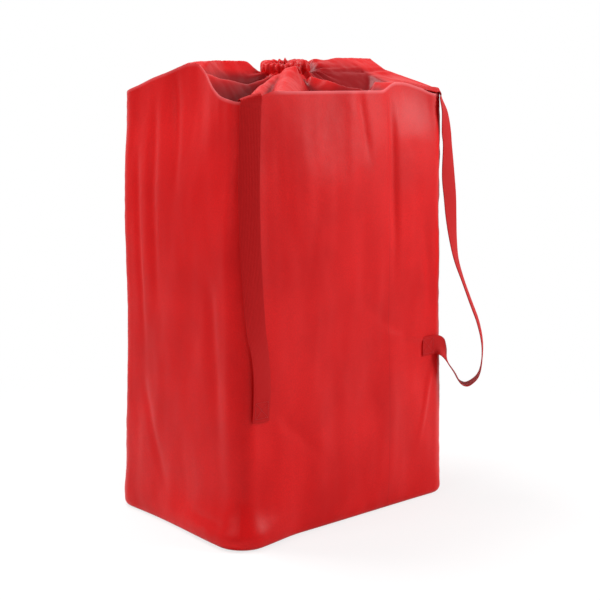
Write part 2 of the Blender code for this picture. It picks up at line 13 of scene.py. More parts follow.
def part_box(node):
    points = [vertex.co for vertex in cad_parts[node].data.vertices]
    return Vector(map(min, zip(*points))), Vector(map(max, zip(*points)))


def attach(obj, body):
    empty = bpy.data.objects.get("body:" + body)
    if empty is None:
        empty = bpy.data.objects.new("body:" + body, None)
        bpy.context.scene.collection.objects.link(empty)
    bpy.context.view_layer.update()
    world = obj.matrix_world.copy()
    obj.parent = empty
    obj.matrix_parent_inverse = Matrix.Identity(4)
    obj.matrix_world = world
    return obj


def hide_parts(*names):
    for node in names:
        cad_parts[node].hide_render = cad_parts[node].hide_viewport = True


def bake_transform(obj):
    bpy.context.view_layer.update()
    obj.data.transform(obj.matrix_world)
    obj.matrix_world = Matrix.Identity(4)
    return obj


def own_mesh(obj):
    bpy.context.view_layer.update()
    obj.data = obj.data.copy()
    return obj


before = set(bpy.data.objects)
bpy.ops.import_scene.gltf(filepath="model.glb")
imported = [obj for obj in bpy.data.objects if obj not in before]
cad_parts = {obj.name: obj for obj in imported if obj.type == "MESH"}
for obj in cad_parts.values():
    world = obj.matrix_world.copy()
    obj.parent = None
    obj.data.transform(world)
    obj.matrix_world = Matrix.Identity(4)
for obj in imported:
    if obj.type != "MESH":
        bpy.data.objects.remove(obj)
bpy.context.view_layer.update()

# ---- sizes shared with the frame ---------------------------------------------------------
RIM = 0.800                  # floor to the rim where the crown folds in
BASE_HALF = (0.2735, 0.190)
RIM_HALF = (0.2585, 0.182)
CORNER = 0.040
CREST_SLOPE = 0.055 / RIM_HALF[1]
CASING_LOW, CASING_HIGH = [Vector(corner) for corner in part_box("hem_casing")]
MOUTH_HEIGHT = (CASING_LOW.z + CASING_HIGH.z) / 2
MOUTH_RADIUS = 0.036
CLOTH = 0.0011               # visible thickness of the nylon
PRESSED_LINE = 0.097         # how far right of the middle the pressed line runs, painted as a thin line of shade
WEB_WIDTH, WEB_THICK = 0.038, 0.0022


def put(name, data):
    """A new object in the scene that holds this mesh, curve, lamp or camera."""
    thing = bpy.data.objects.new(name, data)
    bpy.context.scene.collection.objects.link(thing)
    return thing


# ---- camera ------------------------------------------------------------------------------
def add_camera():
    data = bpy.data.cameras.new("studio_camera")
    data.lens = 80.2
    data.sensor_width = 36.0
    camera = put("studio_camera", data)
    camera.location = (-1.7006, -1.9551, 0.8291)
    camera.rotation_euler = (math.radians(90 - 9.403), 0.0, math.radians(-41.65))
    bpy.context.scene.camera = camera


# ---- materials ---------------------------------------------------------------------------
NYLON_THREADS = 0.0016       # thread spacing, coarser than the real 0.35 mm so that it shows
WEB_RIBS = 0.0020            # spacing of the webbing's ribs, and of its lengthwise threads
WEB_ROWS = 0.0027


def colour(hex_code):
    """An sRGB hex colour as the linear value that shaders take."""
    parts = [int(hex_code[i:i + 2], 16) / 255 for i in (0, 2, 4)]
    return (*[c / 12.92 if c <= 0.04045 else ((c + 0.055) / 1.055) ** 2.4 for c in parts], 1.0)


def new_material(name):
    made = bpy.data.materials.new(name)
    made.use_nodes = True
    return made, made.node_tree, made.node_tree.nodes["Principled BSDF"]


def add(tree, kind, links=(), **settings):
    """Adds one node; settings name its properties or its inputs, links are (input, socket)."""
    node = tree.nodes.new(kind)
    for key, value in settings.items():
        if hasattr(node, key):
            setattr(node, key, value)
        else:
            node.inputs[key.replace("_", " ")].default_value = value
    for target, socket in links:
        tree.links.new(socket, node.inputs[target])
    return node


def feed(tree, socket, value):
    """Gives an input a number or a hex colour, or joins it to another node's output."""
    if hasattr(value, "is_linked"):
        tree.links.new(value, socket)
    else:
        socket.default_value = colour(value) if isinstance(value, str) else value


def mix_colours(tree, factor, dark, light):
    node = add(tree, "ShaderNodeMix", [(0, factor)], data_type="RGBA")
    feed(tree, node.inputs[6], dark)
    feed(tree, node.inputs[7], light)
    return node.outputs[2]


def reckon(tree, operation, *values):
    node = add(tree, "ShaderNodeMath", operation=operation)
    for socket, value in zip(node.inputs, values):
        feed(tree, socket, value)
    return node.outputs[0]


def spread_over(tree, value, low, high, least=0.0, most=1.0, **settings):
    """Maps low..high onto least..most, and holds still outside."""
    ends = {"From Min": low, "From Max": high, "To Min": least, "To Max": most}
    return add(tree, "ShaderNodeMapRange", [("Value", value)], **ends, **settings).outputs[0]


def band_scale(spacing):
    """The wave texture's scale that puts its bands so many metres apart."""
    return math.pi * 2 / spacing / 20


def weave_waves(tree, coords, spacing, directions):
    """Threads as sine bands; spacing is the distance between neighbouring threads."""
    waves = []
    for direction in directions:
        wave = add(tree, "ShaderNodeTexWave", [("Vector", coords)], wave_type="BANDS",
                   bands_direction=direction, Scale=band_scale(spacing))
        waves.append(wave.outputs["Fac"])
    return waves


def nylon_material():
    """Coated packcloth nylon, plain woven: matt with a low broad sheen and a fine even grain."""
    made, tree, shader = new_material("woven_packcloth_nylon")
    place = add(tree, "ShaderNodeTexCoord").outputs["Object"]
    blotch = add(tree, "ShaderNodeTexNoise", [("Vector", place)], Scale=9.0, Detail=4.0)
    grain = add(tree, "ShaderNodeTexNoise", [("Vector", place)], Scale=420.0, Detail=2.0)
    soft = spread_over(tree, blotch.outputs["Fac"], 0.3, 0.7)
    body = mix_colours(tree, soft, "BE0A0C", "D01213")
    fine = spread_over(tree, grain.outputs["Fac"], 0.35, 0.65, 0.0, 0.35)
    cloth = mix_colours(tree, fine, body, "A80C0E")
    # painted shade: cloth deep in the drawn folds is coloured darker; painted highlight: folded
    # edges are coloured paler
    depth = add(tree, "ShaderNodeAttribute", attribute_name="painted_fold_shade")
    cloth = mix_colours(tree, depth.outputs["Fac"], cloth, "7C0007")
    edge_highlight = add(tree, "ShaderNodeAttribute", attribute_name="painted_edge_highlight")
    cloth = mix_colours(tree, edge_highlight.outputs["Fac"], cloth, "F08488")
    # painted shade: one thin dark line down each wide face, the shade of a crease pressed in from
    # the way the cloth was packed
    apart = add(tree, "ShaderNodeSeparateXYZ", [("Vector", place)])
    off_line = reckon(tree, "SUBTRACT", apart.outputs["X"], PRESSED_LINE)
    line = spread_over(tree, reckon(tree, "ABSOLUTE", off_line), 0.0, 0.0011, 0.45, 0.0)
    below_rim = reckon(tree, "LESS_THAN", apart.outputs["Z"], RIM - 0.012)
    line = reckon(tree, "MULTIPLY", line, below_rim)
    cloth = mix_colours(tree, line, cloth, "8E0A12")
    tree.links.new(cloth, shader.inputs["Base Color"])
    threads = weave_waves(tree, place, NYLON_THREADS, ("X", "Y", "Z"))
    both = reckon(tree, "ADD", reckon(tree, "MULTIPLY", threads[0], threads[2]),
                  reckon(tree, "MULTIPLY", threads[1], threads[2]))
    crumple = add(tree, "ShaderNodeTexNoise", [("Vector", place)], Scale=60.0, Detail=3.0)
    weave = add(tree, "ShaderNodeBump", [("Height", both)], Strength=0.10, Distance=0.0003)
    rumple = add(tree, "ShaderNodeBump", [("Height", crumple.outputs["Fac"]),
                                          ("Normal", weave.outputs["Normal"])],
                 Strength=0.25, Distance=0.0012)
    tree.links.new(rumple.outputs["Normal"], shader.inputs["Normal"])
    shader.inputs["Roughness"].default_value = 0.42
    shader.inputs["Specular IOR Level"].default_value = 0.13
    shader.inputs["Sheen Weight"].default_value = 0.035
    shader.inputs["Sheen Roughness"].default_value = 0.35
    shader.inputs["Sheen Tint"].default_value = colour("FF9A9A")
    return made


def webbing_material():
    """Polypropylene webbing: ribs across its width from the weft, dull with bright thread tops."""
    made, tree, shader = new_material("woven_polypropylene_webbing")
    along = add(tree, "ShaderNodeUVMap", uv_map="webbing").outputs["UV"]
    ribs = add(tree, "ShaderNodeTexWave", [("Vector", along)], wave_type="BANDS",
               bands_direction="Y", Scale=band_scale(WEB_RIBS))
    rows = add(tree, "ShaderNodeTexWave", [("Vector", along)], wave_type="BANDS",
               bands_direction="X", Scale=band_scale(WEB_ROWS))
    knots = reckon(tree, "MULTIPLY", ribs.outputs["Fac"], rows.outputs["Fac"])
    tone = mix_colours(tree, knots, "A60A0C", "C01213")
    tree.links.new(tone, shader.inputs["Base Color"])
    bump = add(tree, "ShaderNodeBump", [("Height", knots)], Strength=0.5, Distance=0.0006)
    tree.links.new(bump.outputs["Normal"], shader.inputs["Normal"])
    shader.inputs["Roughness"].default_value = 0.6
    shader.inputs["Specular IOR Level"].default_value = 0.12
    return made


def cord_material():
    """Braided polyester cord: slanting strands that cross round it."""
    made, tree, shader = new_material("braided_polyester_cord")
    place = add(tree, "ShaderNodeTexCoord").outputs["Object"]
    strands = add(tree, "ShaderNodeTexVoronoi", [("Vector", place)], Scale=900.0)
    tone = mix_colours(tree, strands.outputs["Distance"], "D8474F", "A81820")
    tree.links.new(tone, shader.inputs["Base Color"])
    bump = add(tree, "ShaderNodeBump", [("Height", strands.outputs["Distance"])], Strength=0.5,
               Distance=0.0004)
    tree.links.new(bump.outputs["Normal"], shader.inputs["Normal"])
    shader.inputs["Roughness"].default_value = 0.55
    return made


def simple_material(name, dark, light, scale, roughness, metallic=0.0):
    """Moulded or drawn stock with a faint mottled surface."""
    made, tree, shader = new_material(name)
    place = add(tree, "ShaderNodeTexCoord").outputs["Object"]
    mottle = add(tree, "ShaderNodeTexNoise", [("Vector", place)], Scale=scale, Detail=3.0)
    tree.links.new(mix_colours(tree, mottle.outputs["Fac"], dark, light),
                   shader.inputs["Base Color"])
    bump = add(tree, "ShaderNodeBump", [("Height", mottle.outputs["Fac"])], Strength=0.15,
               Distance=0.0002)
    tree.links.new(bump.outputs["Normal"], shader.inputs["Normal"])
    shader.inputs["Roughness"].default_value = roughness
    shader.inputs["Metallic"].default_value = metallic
    return made


# ---- building helpers --------------------------------------------------------------------
def grid_object(name, points, material, closed=False, uv=None):
    """A sheet from an array of points, rows by columns; closed joins the last column on."""
    rows, columns = points.shape[:2]
    span = columns if closed else columns - 1
    faces = []
    for row in range(rows - 1):
        for column in range(span):
            turn = (column + 1) % columns
            faces.append((row * columns + column, row * columns + turn,
                          (row + 1) * columns + turn, (row + 1) * columns + column))
    mesh = bpy.data.meshes.new(name)
    mesh.from_pydata(points.reshape(-1, 3).tolist(), [], faces)
    mesh.update()
    mesh.shade_smooth()
    thing = put(name, mesh)
    mesh.materials.append(material)
    if uv is not None:
        layer = mesh.uv_layers.new(name="webbing")
        flat = uv.reshape(-1, 2)
        for loop in mesh.loops:
            layer.data[loop.index].uv = flat[loop.vertex_index]
    return thing


def apply_all(thing):
    bpy.ops.object.select_all(action="DESELECT")
    thing.select_set(True)
    bpy.context.view_layer.objects.active = thing
    for modifier in list(thing.modifiers):
        bpy.ops.object.modifier_apply(modifier=modifier.name)
    return thing


def thicken(thing, thickness, offset=-1.0):
    solid = thing.modifiers.new("thickness", "SOLIDIFY")
    solid.thickness = thickness
    solid.offset = offset
    apply_all(thing)
    thing.data.set_sharp_from_angle(angle=math.radians(50))
    return thing


def point_outwards(thing, close_ends=False):
    """Turns all faces outwards, and first fills any open ends if asked."""
    build = bmesh.new()
    build.from_mesh(thing.data)
    if close_ends:
        open_edges = [edge for edge in build.edges if edge.is_boundary]
        bmesh.ops.holes_fill(build, edges=open_edges)
    bmesh.ops.recalc_face_normals(build, faces=build.faces)
    build.to_mesh(thing.data)
    build.free()


def ease(value, low, high):
    """0 below low, 1 above high, and a smooth step between them."""
    t = np.clip((np.asarray(value, float) - low) / (high - low), 0.0, 1.0)
    return t * t * (3 - 2 * t)


def field(points, size, seed, stretch=(1.0, 1.0, 1.0)):
    """Smooth noise from -1 to 1 at every point; size is the length of one swell."""
    flat = points.reshape(-1, 3) / size * np.array(stretch) + seed * 17.3
    values = [noise.noise(Vector(row)) for row in flat.tolist()]
    return np.array(values).reshape(points.shape[:-1])


# ---- shell of the bag --------------------------------------------------------------------
ARC_STEPS = 7
FRONT_STEPS, SIDE_STEPS = 92, 62
WALL_ROWS, CROWN_ROWS = 120, 74
FOOT_ROWS = (0.0008, 0.002, 0.0045, 0.008)   # heights of the extra rows that round the foot
FOOT_RADIUS = 0.012
RIM_ROW = WALL_ROWS + len(FOOT_ROWS) - 1


def shell_columns():
    """Columns round the bag from the middle of the left front corner, with the seam indices."""
    columns, seams = [], []
    corners = [(-1, -1), (1, -1), (1, 1), (-1, 1)]
    for side in range(4):
        steps = FRONT_STEPS if side % 2 == 0 else SIDE_STEPS
        facing = side * math.pi / 2 - math.pi / 2
        first, second = corners[side], corners[(side + 1) % 4]
        seams.append(len(columns))
        for step in range(ARC_STEPS):
            columns.append((*first, facing - math.pi / 4 * (1 - step / ARC_STEPS)))
        for step in range(steps):
            share = step / steps
            columns.append((first[0] + (second[0] - first[0]) * share,
                            first[1] + (second[1] - first[1]) * share, facing))
        for step in range(ARC_STEPS):
            columns.append((*second, facing + math.pi / 4 * step / ARC_STEPS))
    return np.array(columns), seams


def wall_rows(columns):
    """Points of the four walls, tucked in at the foot, as rows by columns, and normals."""
    heights = np.concatenate([FOOT_ROWS, np.linspace(0.0125, RIM, WALL_ROWS)])
    share = heights[:, None] / RIM
    half_x = BASE_HALF[0] + (RIM_HALF[0] - BASE_HALF[0]) * share
    half_y = BASE_HALF[1] + (RIM_HALF[1] - BASE_HALF[1]) * share
    rise = np.clip(1 - heights / FOOT_RADIUS, 0, 1)[:, None]
    radius = CORNER - FOOT_RADIUS * (1 - np.sqrt(1 - rise ** 2))
    out = np.stack([np.cos(columns[:, 2]), np.sin(columns[:, 2])], axis=-1)
    x = columns[None, :, 0] * (half_x - CORNER) + radius * out[None, :, 0]
    y = columns[None, :, 1] * (half_y - CORNER) + radius * out[None, :, 1]
    z = np.repeat(heights[:, None], len(columns), axis=1)
    normals = np.stack([np.repeat(out[None, :, 0], len(heights), 0),
                        np.repeat(out[None, :, 1], len(heights), 0), np.zeros_like(z)], axis=-1)
    return np.stack([x, y, z], axis=-1), normals


def crease(u, z, start, end, depth, width):
    """A valley (or, with negative depth, a ridge) along a line on a wall, fading at its ends."""
    a, b = np.array(start), np.array(end)
    line = b - a
    length = np.linalg.norm(line)
    along = ((u - a[0]) * line[0] + (z - a[1]) * line[1]) / length
    away = ((u - a[0]) * line[1] - (z - a[1]) * line[0]) / length
    fade = ease(along, -0.02, 0.25 * length) * (1 - ease(along, 0.6 * length, length + 0.02))
    return -depth * fade * np.exp(-(away / width) ** 2)


# each crease: where it starts and ends on its wall, its depth (negative for a ridge), its width
FRONT_CREASES = (
    ((0.105, 0.80), (0.115, 0.42), 0.0035, 0.010), ((0.212, 0.322), (0.10, 0.345), -0.0030, 0.0050),
    ((0.222, 0.270), (0.185, 0.120), -0.0026, 0.0050), ((0.18, 0.31), (0.02, 0.42), 0.0025, 0.014),
    ((-0.06, 0.80), (-0.10, 0.50), 0.0020, 0.016), ((-0.19, 0.24), (-0.06, 0.12), 0.0025, 0.012),
    ((0.02, 0.80), (0.045, 0.66), 0.0025, 0.010), ((0.225, 0.34), (0.19, 0.60), 0.0022, 0.012))
LEFT_CREASES = (
    ((0.075, 0.78), (0.055, 0.38), 0.0050, 0.012), ((0.12, 0.70), (0.10, 0.30), 0.0035, 0.009),
    ((0.02, 0.80), (-0.01, 0.60), 0.0030, 0.010), ((-0.05, 0.044), (-0.185, 0.036), 0.0045, 0.006),
    ((-0.10, 0.50), (-0.13, 0.16), 0.0035, 0.014), ((0.10, 0.26), (0.03, 0.06), 0.0030, 0.012))
BACK_CREASES = (
    ((0.10, 0.80), (0.06, 0.45), 0.004, 0.013), ((-0.12, 0.80), (-0.05, 0.50), 0.003, 0.012),
    ((-0.18, 0.30), (0.00, 0.20), 0.003, 0.014), ((0.02, 0.50), (0.10, 0.12), 0.003, 0.015))
RIGHT_CREASES = (
    ((-0.06, 0.80), (-0.03, 0.40), 0.004, 0.012), ((0.08, 0.78), (0.09, 0.45), 0.003, 0.010),
    ((-0.10, 0.30), (0.04, 0.10), 0.003, 0.014))


def creases(u, z, lines):
    return sum(crease(u, z, *line) for line in lines)


def shape_walls(points, normals):
    """Soft fullness, swells and creases of the stuffed cloth."""
    x, y, z = points[..., 0], points[..., 1], points[..., 2]
    facing_front = np.clip(-normals[..., 1], 0, 1) ** 6
    facing_left = np.clip(-normals[..., 0], 0, 1) ** 6
    facing_back = np.clip(normals[..., 1], 0, 1) ** 6
    facing_right = np.clip(normals[..., 0], 0, 1) ** 6
    wide = 1 - (x / 0.262) ** 2
    deep = 1 - (y / 0.186) ** 2
    tall = ease(z, 0.0, 0.18) * (1 - ease(z, 0.62, 0.80) * 0.8)
    push = 0.006 * tall * (wide * (facing_front + facing_back)
                           + deep * (facing_left + facing_right))
    push += 0.0060 * field(points, 0.150, 1, (1, 1, 0.50)) * ease(z, 0.0, 0.06)
    push += 0.0032 * field(points, 0.055, 2, (1, 1, 0.30)) * ease(z, 0.0, 0.05)
    push += 0.0007 * field(points, 0.022, 9, (1, 1, 0.35)) * ease(z, 0.0, 0.05)
    # puckers that gather along the corner seams and the foot seam
    corner = np.minimum(np.abs(normals[..., 0]), np.abs(normals[..., 1]))
    near_seam = ease(corner, 0.25, 0.7)
    push += 0.0011 * near_seam * field(points, 0.016, 3, (1, 1, 1.0))
    push += 0.0014 * (1 - ease(z, 0.01, 0.05)) * field(points, 0.028, 4)
    front, left = creases(x, z, FRONT_CREASES), creases(y, z, LEFT_CREASES)
    back, right = creases(x, z, BACK_CREASES), creases(y, z, RIGHT_CREASES)
    push += front * facing_front + left * facing_left + back * facing_back + right * facing_right
    push *= ease(z, 0.0, 0.012)
    # the load spreads the foot of the bag, most of all at the left front corner
    spread = np.exp(-((z - 0.018) / 0.040) ** 2)
    push += 0.019 * spread * (1 - ease(y, -0.19, 0.10)) * (1 - ease(x, -0.26, -0.12))
    push += 0.004 * spread * (1 - ease(x, -0.10, 0.20))
    return points + normals * push[..., None]


# how high the left wall's top edge stands above the rim, from the front corner to the back one
LEFT_GABLE = ((-0.182, -0.013), (-0.145, -0.006), (-0.123, -0.001), (-0.100, 0.013),
              (-0.065, 0.042), (-0.043, 0.056), (-0.018, 0.056), (0.012, 0.049), (0.040, 0.040),
              (0.082, 0.030), (0.130, 0.015), (0.182, 0.0))


def left_gable(y):
    """The left wall's top edge as a rounded line through LEFT_GABLE."""
    places, heights = np.array(LEFT_GABLE).T
    fine = np.linspace(-0.200, 0.200, 401)
    line = np.interp(fine, places, heights)
    window = np.hanning(23)
    line = np.convolve(np.pad(line, 11, mode="edge"), window / window.sum(), mode="valid")
    return np.interp(y, fine, line)


def plain_gable(y):
    rounded = np.sqrt(np.asarray(y) ** 2 + 0.018 ** 2) - 0.006
    return CREST_SLOPE * np.clip(RIM_HALF[1] - rounded, 0, None)


def rim_lift(x, y):
    """How far the filled front rim stands above its straight line."""
    front = 0.0075 * ease(x, -0.215, -0.185)
    front = front + 0.0150 * ease(x, 0.080, 0.125) * (1 - ease(x, 0.135, 0.225))
    front = front * (1 - ease(x, 0.19, 0.235))
    return front * (1 - ease(y, -0.178, -0.150))


def tent(x, y, places, slope, half_width):
    """A fold drawn tight along places (x, y, height): its height, falling away to both sides."""
    best = np.full(x.shape, -1.0)
    for (ax, ay, az), (bx, by, bz) in zip(places[:-1], places[1:]):
        length = (bx - ax) ** 2 + (by - ay) ** 2
        t = np.clip(((x - ax) * (bx - ax) + (y - ay) * (by - ay)) / length, 0, 1)
        away = np.hypot(x - ax - t * (bx - ax), y - ay - t * (by - ay))
        fall = slope * (np.sqrt(away ** 2 + half_width ** 2) - half_width)
        best = np.maximum(best, az + (bz - az) * t - fall)
    return best


FOLDS = (
    # left of the mouth: the taut fold from the gable, the roll by the strap, the standing tongue
    (((-0.2585, -0.046, 0.848), (-0.19, -0.050, 0.829), (-0.13, -0.046, 0.819),
      (-0.05, -0.040, 0.838)), 1.5, 0.006),
    (((-0.235, -0.176, 0.796), (-0.185, -0.140, 0.811), (-0.12, -0.090, 0.824),
      (-0.04, -0.042, 0.846)), 1.5, 0.010),
    (((-0.168, -0.180, 0.806), (-0.125, -0.140, 0.822), (-0.075, -0.090, 0.836),
      (-0.025, -0.042, 0.860)), 1.6, 0.016),
    # right of the mouth: the inner lip, and the fold that bounds the deep pocket
    (((0.075, -0.166, 0.806), (0.035, -0.130, 0.815), (0.000, -0.075, 0.838)), 1.7, 0.006),
    (((0.2585, -0.050, 0.846), (0.17, -0.046, 0.838), (0.09, -0.036, 0.842),
      (0.035, -0.026, 0.850)), 1.4, 0.010),
)
POCKET_FLOOR = 0.770
STEEP = 1.45


def crown_surface(x, y, rim_z):
    """Height of the drawn-in crown: taut folds and rims with deep pockets between them."""
    plane = RIM + CREST_SLOPE * (RIM_HALF[1] - np.abs(y))
    crest = (0.014 + 0.004 * ease(x, 0.10, 0.16))
    crest = crest * ease(y, -0.06, 0.02) * (1 - ease(y, 0.03, 0.10))
    crest *= 1 - 0.85 * ease(-x, 0.13, 0.25) - 0.4 * ease(x, 0.235, 0.2585)
    crest_line = -0.034 + 0.058 * ease(x, -0.245, -0.13) * (1 - ease(x, -0.06, 0.03))
    back = plane + crest - STEEP * np.clip(crest_line - y, 0, None)
    band = 0.005 + 0.050 * ease(x, 0.02, 0.15)
    front = rim_z - STEEP * np.clip(y + RIM_HALF[1] - band, 0, None)
    left = RIM + left_gable(y) - STEEP * np.clip(x + RIM_HALF[0] - 0.004, 0, None)
    right = plane - 1.1 * np.clip(0.172 - x, 0, None)
    surfaces = [back, front, left, right, np.full(x.shape, POCKET_FLOOR)]
    surfaces += [tent(x, y, *fold) for fold in FOLDS]
    stack = np.array(surfaces)
    blur = 0.0024
    top = stack.max(axis=0)
    return top + blur * np.log(np.exp((stack - top) / blur).sum(axis=0))


def gather(turn, wander):
    """Pleats of cloth packed round the mouth, from -1 to 1, with pinched valleys."""
    wide = 1 - 2 * np.abs(np.sin(5.5 * turn + wander * 1.9)) ** 0.7
    middle = 1 - 2 * np.abs(np.sin(10.5 * turn + wander * 2.9 + 0.6)) ** 0.8
    small = np.sin(29 * turn + wander * 3.4)
    uneven = 0.75 + 0.25 * np.sin(2 * turn + 1.0)
    return (0.60 * wide + 0.42 * middle) * uneven + 0.18 * small


def around_mouth(count):
    """Angle of each column where it meets the mouth, and its pleat height there."""
    around = np.zeros(count)
    edges = SEAMS + [count]
    for side in range(4):
        steps = edges[side + 1] - edges[side]
        share = np.arange(steps) / steps
        around[edges[side]:edges[side + 1]] = -3 * np.pi / 4 + np.pi / 2 * (side + share)
    turn = np.arange(count) / count * 2 * np.pi
    wander = 0.9 * np.sin(3 * turn + 0.7) + 0.6 * np.sin(5 * turn + 2.1)
    pleats = gather(turn, wander)
    pleats = sum(np.roll(pleats, shift) for shift in (-2, -1, 0, 1, 2)) / 5
    return around, turn, np.clip(pleats, -1.0, 0.75)


MOUTH_REACH = 0.046


def crown_rows(columns, rim):
    """Rows of the crown from the rim in to the mouth, in pleats that deepen as they gather."""
    around, turn, pleats = around_mouth(len(columns))
    mouth = MOUTH_REACH * np.stack([np.cos(around), np.sin(around)], axis=-1)
    tangent = np.stack([-np.sin(around), np.cos(around)], axis=-1)
    rows = []
    for share in np.linspace(0, 1, CROWN_ROWS + 1)[1:]:
        pull = share ** 0.95
        plan = rim[:, :2] * (1 - pull) + mouth * pull
        near = 1 - ease(np.hypot(plan[:, 0], plan[:, 1]), MOUTH_REACH, 0.125)
        swing = 0.0045 * np.cos(9 * turn + 3.0 * share) * near * (1 - near * 0.5)
        plan = plan + tangent * swing[:, None]
        plan = plan * (1 + 0.09 * pleats * near ** 2)[:, None]
        z = crown_surface(plan[:, 0], plan[:, 1], rim[:, 2])
        lift = 0.0120 * pleats * near ** 1.2
        neck = ease(share, 0.84, 1.0)
        z = z * (1 - neck) + (MOUTH_HEIGHT - 0.008) * neck
        blend_in = ease(share, 0.0, 0.07)
        z = rim[:, 2] * (1 - blend_in) + (z + lift * (1 - 0.5 * neck)) * blend_in
        rows.append(np.concatenate([plan, z[:, None]], axis=1))
    rows = np.array(rows)
    fade = ease(np.linspace(0, 1, CROWN_ROWS + 1)[1:], 0.0, 0.15)[:, None]
    rows[..., 2] += 0.0022 * field(rows, 0.035, 6) * fade
    rows[..., 2] += 0.0010 * field(rows, 0.012, 7) * fade
    return rows


def hem_casing(shell):
    """The hem turned over the cord: one pleated tube of cloth standing round the mouth."""
    around, turn, pleats = around_mouth(shell.shape[1])
    pleats = sum(np.roll(pleats, shift) for shift in range(-3, 4)) / 7
    middle = MOUTH_HEIGHT
    last = shell[-1]
    profile = ((0.0115, -0.0050), (0.0120, 0.0040), (0.0108, 0.0100), (0.0070, 0.0138),
               (0.0015, 0.0150), (-0.0045, 0.0135), (-0.0090, 0.0090), (-0.0110, 0.0020),
               (-0.0120, -0.0060), (-0.0135, -0.0130), (-0.0150, -0.0200))
    far_side = 0.5 + 0.5 * np.cos(around - math.radians(35))
    rows = [last]
    for index, (out, up) in enumerate(profile):
        inner = 1.0 if out > 0 else 0.75
        reach = MOUTH_RADIUS + out + 0.0056 * pleats * inner
        height = middle + up + 0.0060 * pleats * ease(up, 0.0, 0.012)
        height = height + (0.0085 * far_side - 0.0030) * ease(up, -0.004, 0.012)
        reach = reach + 0.0015 * np.sin(17 * turn + 1.3 * index)
        rows.append(np.stack([reach * np.cos(around), reach * np.sin(around), height], axis=-1))
    rows = np.array(rows)
    casing = grid_object("hem_casing_cloth", rows, NYLON, closed=True)
    heights = np.array([0.0] + [up for _, up in profile])
    throat = ease(-heights, -0.004, 0.012) * (np.arange(len(heights)) > 6)
    # painted shade: darker in the pleat valleys and down the throat of the casing
    mark(casing, "painted_fold_shade", np.clip(0.30 * ease(-pleats, -0.2, 0.8)[None, :]
                               + 0.85 * throat[:, None], 0, 0.9))
    casing.modifiers.new("rounder", "SUBSURF").levels = 1
    casing.modifiers["rounder"].render_levels = 1
    thicken(casing, CLOTH)
    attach(casing, "bag")
    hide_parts("hem_casing")


def raise_gables(points):
    """Side walls end in low gables, and the front rim swells, so their top rows climb."""
    x, y, z = points[..., 0], points[..., 1], points[..., 2]
    on_left = 1 - ease(x, 0.005 - RIM_HALF[0], 0.034 - RIM_HALF[0])
    on_right = ease(x, RIM_HALF[0] - 0.034, RIM_HALF[0] - 0.005)
    gable = left_gable(y) * on_left + plain_gable(y) * on_right
    climb = ease(z, 0.45, RIM)
    points[..., 2] = z + (gable + rim_lift(x, y)) * climb
    lean = ease(z, 0.60, RIM) * np.clip(gable, 0, None) * 0.30
    points[..., 0] = x - np.sign(x) * lean
    # at the right of the front the rim is rounder, so wall and crown run into one another
    on_front = 1 - ease(y, -0.186, -0.165)
    soft = ease(x, 0.03, 0.15) * (1 - ease(x, 0.18, 0.25)) * ease(z, 0.71, 0.815)
    points[..., 1] = y + 0.009 * soft * on_front
    return points


STRAP_BED = []               # the plain walls, and how far the cloth stands out of them


def swell(place, wide):
    """How far the cloth stands out of the plain wall anywhere under the webbing here."""
    plain, stand = STRAP_BED
    most = -1.0
    for share in (-0.5, -0.25, 0.0, 0.25, 0.5):
        spot = np.array(place) + np.array(wide) * share * WEB_WIDTH
        row = int(np.argmin(np.abs(plain[:, 0, 2] - spot[2])))
        column = int(np.argmin(np.hypot(*(plain[row, :, :2] - spot[:2]).T)))
        most = max(most, float(stand[max(row - 1, 0):row + 2, column].max()))
    return most


def build_shell():
    plain, normals = wall_rows(COLUMNS)
    walls = shape_walls(plain, normals)
    STRAP_BED.extend([plain, np.sum((walls - plain) * normals, axis=-1)])
    walls = raise_gables(walls)
    crown = crown_rows(COLUMNS, walls[-1])
    return np.concatenate([walls, crown], axis=0)


def painted_fold_shade(points):
    """How much painted shade the cloth takes: 0 on the open cloth, 1 at the bottom of a deep fold
    of the crown.
    """
    x, y, z = points[..., 0], points[..., 1], points[..., 2]
    inside = ease(RIM_HALF[1] + 0.002 - np.abs(y), 0.0, 0.012)
    inside = inside * ease(RIM_HALF[0] + 0.002 - np.abs(x), 0.0, 0.012)
    plane = RIM + CREST_SLOPE * (RIM_HALF[1] - np.abs(y))
    pocket = 0.020 * ease(x, 0.0, 0.04) * (1 - ease(x, 0.16, 0.20)) * (1 - ease(y, 0.0, 0.04))
    sunk = ease(plane + pocket - z, 0.003, 0.024)
    # a hollow also lies below the middle height of the cloth around it
    around = sum(np.roll(z, step, axis=1) for step in (-7, -5, -3, 3, 5, 7)) / 6
    pinched = ease(around - z, 0.0008, 0.0070)
    crown = np.zeros(z.shape)
    crown[-CROWN_ROWS:] = 1
    return np.clip(0.90 * sunk + 0.55 * pinched, 0, 0.92) * inside * crown


def painted_edge_highlight(points):
    """Painted highlight: 1 along the rim and the crests of the folds, where the cloth is bent hard.
    """
    x, y, z = points[RIM_ROW, :, 0], points[RIM_ROW, :, 1], points[..., 2]
    edge_highlight = np.zeros(z.shape)
    front = 0.55 * ease(x, -0.205, -0.150) * (1 - ease(y, -0.178, -0.150))
    edge_highlight[RIM_ROW] = front + 0.35 * (1 - ease(x, -0.250, -0.235))
    crest = z[1:-1] - (z[:-2] + z[2:]) / 2
    edge_highlight[RIM_ROW + 1:-8] += 0.5 * ease(crest, 0.0009, 0.0030)[RIM_ROW:-7]
    return np.clip(edge_highlight, 0, 0.7)


def mark(cloth, name, values):
    layer = cloth.data.attributes.new(name, "FLOAT", "POINT")
    layer.data.foreach_set("value", values.reshape(-1).astype(np.float32))


